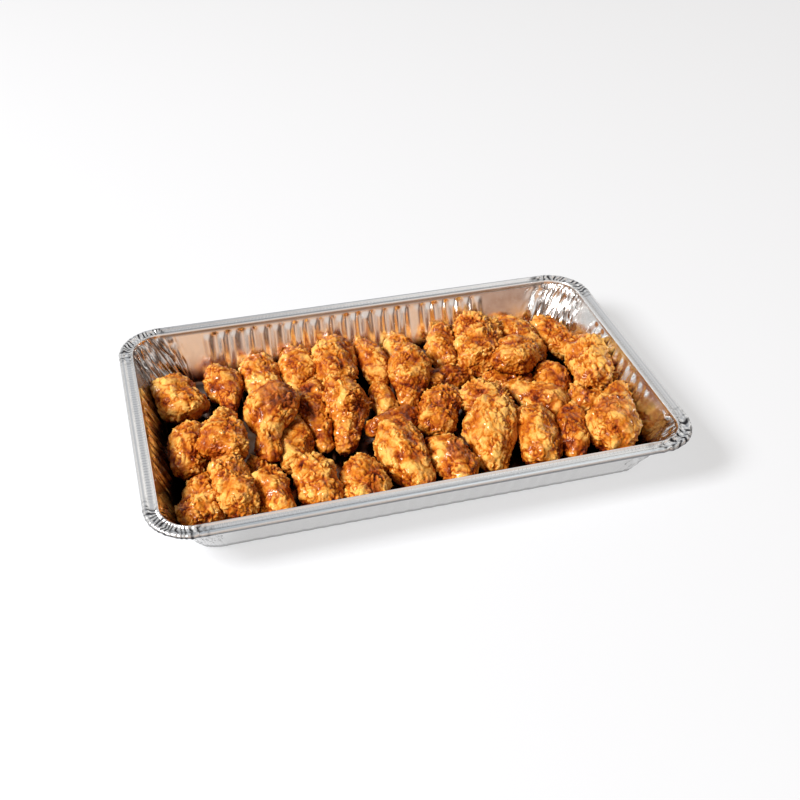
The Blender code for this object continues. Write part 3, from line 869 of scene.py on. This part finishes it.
def inside_pan(spot):
    """A spot moved clear of the pan's wall and floor."""
    foot, top = wall_row(0.0), wall_row(1.0)
    row = wall_row(max(0.0, min(1.0, (spot.z - foot.height) / (top.height - foot.height))))
    limit = row.corner - WALL_CLEAR - FLUTE_DEPTH / 2
    side_x = abs(spot.x) - (row.half_x - row.corner)
    side_y = abs(spot.y) - (row.half_y - row.corner)
    if side_x > 0 and side_y > 0:
        past = hypot(side_x, side_y) - limit
        if past > 0:
            way = Vector((side_x if spot.x > 0 else -side_x, side_y if spot.y > 0 else -side_y, 0))
            spot = spot - way.normalized() * past
    elif side_x > side_y:
        spot.x -= (1 if spot.x > 0 else -1) * max(side_x - limit, 0.0)
    else:
        spot.y -= (1 if spot.y > 0 else -1) * max(side_y - limit, 0.0)
    spot.z = max(spot.z, FOIL + 0.1 * MM)
    return spot


def add_wing(name, node, material, seed):
    """One wing with its craggy crust."""
    crust = CRUSTS.get(name, PLAIN)
    mesh = smooth_form(node)
    mesh.name = name + "_crust"
    middle, heading = long_axis(mesh)
    if name in BONE_ENDS:
        shape_bone_end(mesh, middle, heading, *BONE_ENDS[name])
    patch_x, patch_y, patch_reach = PATCHES.get(name, (0.0, 0.0, 0.0))
    turn = Matrix.Rotation(-heading, 3, "Z")
    low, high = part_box(name)
    top, tall = high[2], high[2] - low[2]
    crags, toast_and_underside_shade, blushes = [], [], []
    spots = []
    for vert in mesh.vertices:
        local = turn @ (vert.co - middle) / MM
        height, crag = relief(local, crust, seed)
        curl = sway(local / CURL_SPAN + Vector((seed, 5.0, 2.0))) * max(height, 0.0) * CURL_SHARE
        push = vert.normal * height + (turn.transposed() @ curl)
        spots.append(inside_pan(vert.co + push * MM))
        crags.append(crag)
        patch = noise.noise(local / PATCH_SPAN + Vector((seed * 3.3, 1.0, 8.0)))
        # Painted shade: darker on the underside and low on each wing, added to the random toast
        under = ease(-0.1, -0.95, vert.normal.z) + ease(0.45, 1.0, (top - vert.co.z) / tall)
        toast_and_underside_shade.append(crust.toast + 0.9 * max(patch - 0.05, 0.0) + 1.05 * under)
        stain = noise.noise(local / STAIN_SPAN + Vector((seed * 2.1, 6.0, 3.0)))
        topside = ease(0.1, 0.9, vert.normal.z)
        if patch_reach:
            away = hypot(local.x - patch_x, local.y - patch_y)
            topside *= 1.9 * ease(patch_reach, 0.4 * patch_reach, away)
        blushes.append(0.95 * ease(0.0, 0.5, stain + crust.blush * topside - 0.3))
    mesh.vertices.foreach_set("co", [number for spot in spots for number in spot])
    for word, values in (("crag", crags), ("toast", toast_and_underside_shade), ("blush", blushes)):
        mesh.attributes.new(word, "FLOAT", "POINT").data.foreach_set("value", values)
    mesh.materials.clear()
    mesh.materials.append(material)
    mesh.shade_smooth()
    mesh.update()
    piece = bpy.data.objects.new(name + "_crust", mesh)
    bpy.context.scene.collection.objects.link(piece)
    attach(piece, "root")
    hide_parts(name)


# ---- The studio


def add_floor():
    """The table top the pan stands on."""
    bm = bmesh.new()
    bmesh.ops.create_grid(bm, x_segments=1, y_segments=1, size=6.0)
    mesh = bpy.data.meshes.new("floor")
    bm.to_mesh(mesh)
    bm.free()
    mesh.materials.append(floor_material())
    floor = bpy.data.objects.new("floor", mesh)
    bpy.context.scene.collection.objects.link(floor)


def add_key_light():
    """A square soft light on the left that looks at the pan."""
    light = bpy.data.lights.new("key", "AREA")
    light.shape = "RECTANGLE"
    light.size, light.size_y = KEY_SIZE
    light.energy = KEY_POWER
    light.color = KEY_COLOUR
    lamp = bpy.data.objects.new("key", light)
    lamp.location = KEY_SPOT
    lamp.rotation_mode = "QUATERNION"
    lamp.rotation_quaternion = (Vector(KEY_TARGET) - Vector(KEY_SPOT)).to_track_quat("-Z", "Y")
    bpy.context.scene.collection.objects.link(lamp)


def light_studio():
    """A bright key light on the left, and a room for the foil to mirror."""
    add_key_light()
    world = bpy.data.worlds.new("studio")
    bpy.context.scene.world = world
    world.use_nodes = True
    wires = Wires(world.node_tree)
    way = wires.node("ShaderNodeTexCoord").outputs["Generated"]
    split = wires.node("ShaderNodeSeparateXYZ")
    wires.feed(split.inputs[0], way)
    east, north, rise = (split.outputs[name] for name in "XYZ")
    walls = wires.ramp(rise, *ROOM_BY_HEIGHT)
    above = wires.mix(wires.spread(east, 0.08, 0.3), ABOVE_WEST, ABOVE_EAST)
    walls = wires.mix(wires.spread(rise, 0.72, 0.86), walls, above)
    walls = wires.mix(wires.spread(north, 0.05, -0.3), walls, ROOM_FRONT)
    walls = wires.mix(wires.spread(east, -0.15, -0.45), walls, ROOM_WEST)
    not_north = wires.spread(north, 0.65, 0.45)
    shade = wires.maths("MULTIPLY", wires.spread(east, 0.45, 0.6), not_north)
    walls = wires.mix(shade, walls, ROOM_EAST)
    far_north = wires.spread(north, 0.5, 0.68)
    behind = wires.maths("MULTIPLY", wires.spread(east, 0.27, 0.44), far_north)
    walls = wires.mix(behind, walls, ROOM_BEHIND)
    cards = wires.grain(way, 5.0, 1.0, 0.5)
    beside = wires.spread(wires.maths("ABSOLUTE", east), 0.4, 0.55)
    dark = wires.maths("MULTIPLY", beside, wires.spread(cards, 0.47, 0.40))
    light = wires.maths("MULTIPLY", beside, wires.spread(cards, 0.56, 0.62))
    walls = wires.mix(dark, walls, DARK_CARDS)
    walls = wires.mix(light, walls, LIGHT_CARDS)
    west_to_east = wires.maths("ADD", wires.maths("MULTIPLY", east, 0.5), 0.5)
    warm = wires.ramp(west_to_east, *WARM_BY_EAST)
    streaks = wires.spread(wires.grain(way, 11.0, 2.0, 0.5), 0.47, 0.56)
    streaks = wires.maths("MULTIPLY", streaks, wires.spread(east, -0.35, -0.6))
    warm = wires.mix(streaks, warm, WARM_STREAKS)
    low = wires.maths("SUBTRACT", 1.0, wires.spread(rise, 0.12, 0.45))
    front = wires.spread(north, 0.35, -0.1)
    mirrored = wires.mix(wires.maths("MULTIPLY", low, front), walls, warm)
    rays = wires.node("ShaderNodeLightPath").outputs
    seen = wires.mix(rays["Is Camera Ray"], SOFT_LIGHT, BACKDROP)
    back = world.node_tree.nodes["Background"]
    wires.feed(back.inputs["Color"], wires.mix(rays["Is Glossy Ray"], seen, mirrored))
    back.inputs["Strength"].default_value = 1.0


def add_camera():
    """The camera at the picture's place and angle."""
    forward = Vector((sin(CAMERA_YAW) * cos(CAMERA_PITCH), cos(CAMERA_YAW) * cos(CAMERA_PITCH),
                      -sin(CAMERA_PITCH)))
    level = Vector((cos(CAMERA_YAW), -sin(CAMERA_YAW), 0.0))
    upright = level.cross(forward)
    right = cos(CAMERA_ROLL) * level + sin(CAMERA_ROLL) * upright
    up = cos(CAMERA_ROLL) * upright - sin(CAMERA_ROLL) * level
    camera = bpy.data.cameras.new("camera")
    camera.sensor_width = SENSOR_WIDTH
    camera.lens = FOCUS_PIXELS / PICTURE_PIXELS * camera.sensor_width
    camera.clip_start, camera.clip_end = 0.05, 50.0
    eye = bpy.data.objects.new("camera", camera)
    turn = Matrix((right, up, -forward)).transposed().to_4x4()
    eye.matrix_world = Matrix.Translation(CAMERA_SPOT) @ turn
    bpy.context.scene.collection.objects.link(eye)
    bpy.context.scene.camera = eye


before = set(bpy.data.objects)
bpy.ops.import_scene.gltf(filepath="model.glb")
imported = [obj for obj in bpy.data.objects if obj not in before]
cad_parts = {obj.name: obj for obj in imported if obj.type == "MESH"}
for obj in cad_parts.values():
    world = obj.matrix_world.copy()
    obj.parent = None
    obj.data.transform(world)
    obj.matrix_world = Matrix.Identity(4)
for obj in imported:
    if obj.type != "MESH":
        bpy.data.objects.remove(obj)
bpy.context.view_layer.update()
add_camera()
light_studio()
add_floor()
foil_look = foil_marks()
foil_inside = foil_material("foil_inside", foil_look, True)
foil_outside = foil_material("foil_outside", foil_look, False)
add_pan(foil_inside, foil_outside)
crust_finish = crust_material()
for count, (wing_name, wing_node) in enumerate(sorted(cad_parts.items())):
    if wing_name.startswith("wing"):
        add_wing(wing_name, wing_node, crust_finish, count)
bpy.context.scene.view_settings.view_transform = "Standard"
bpy.context.view_layer.update()
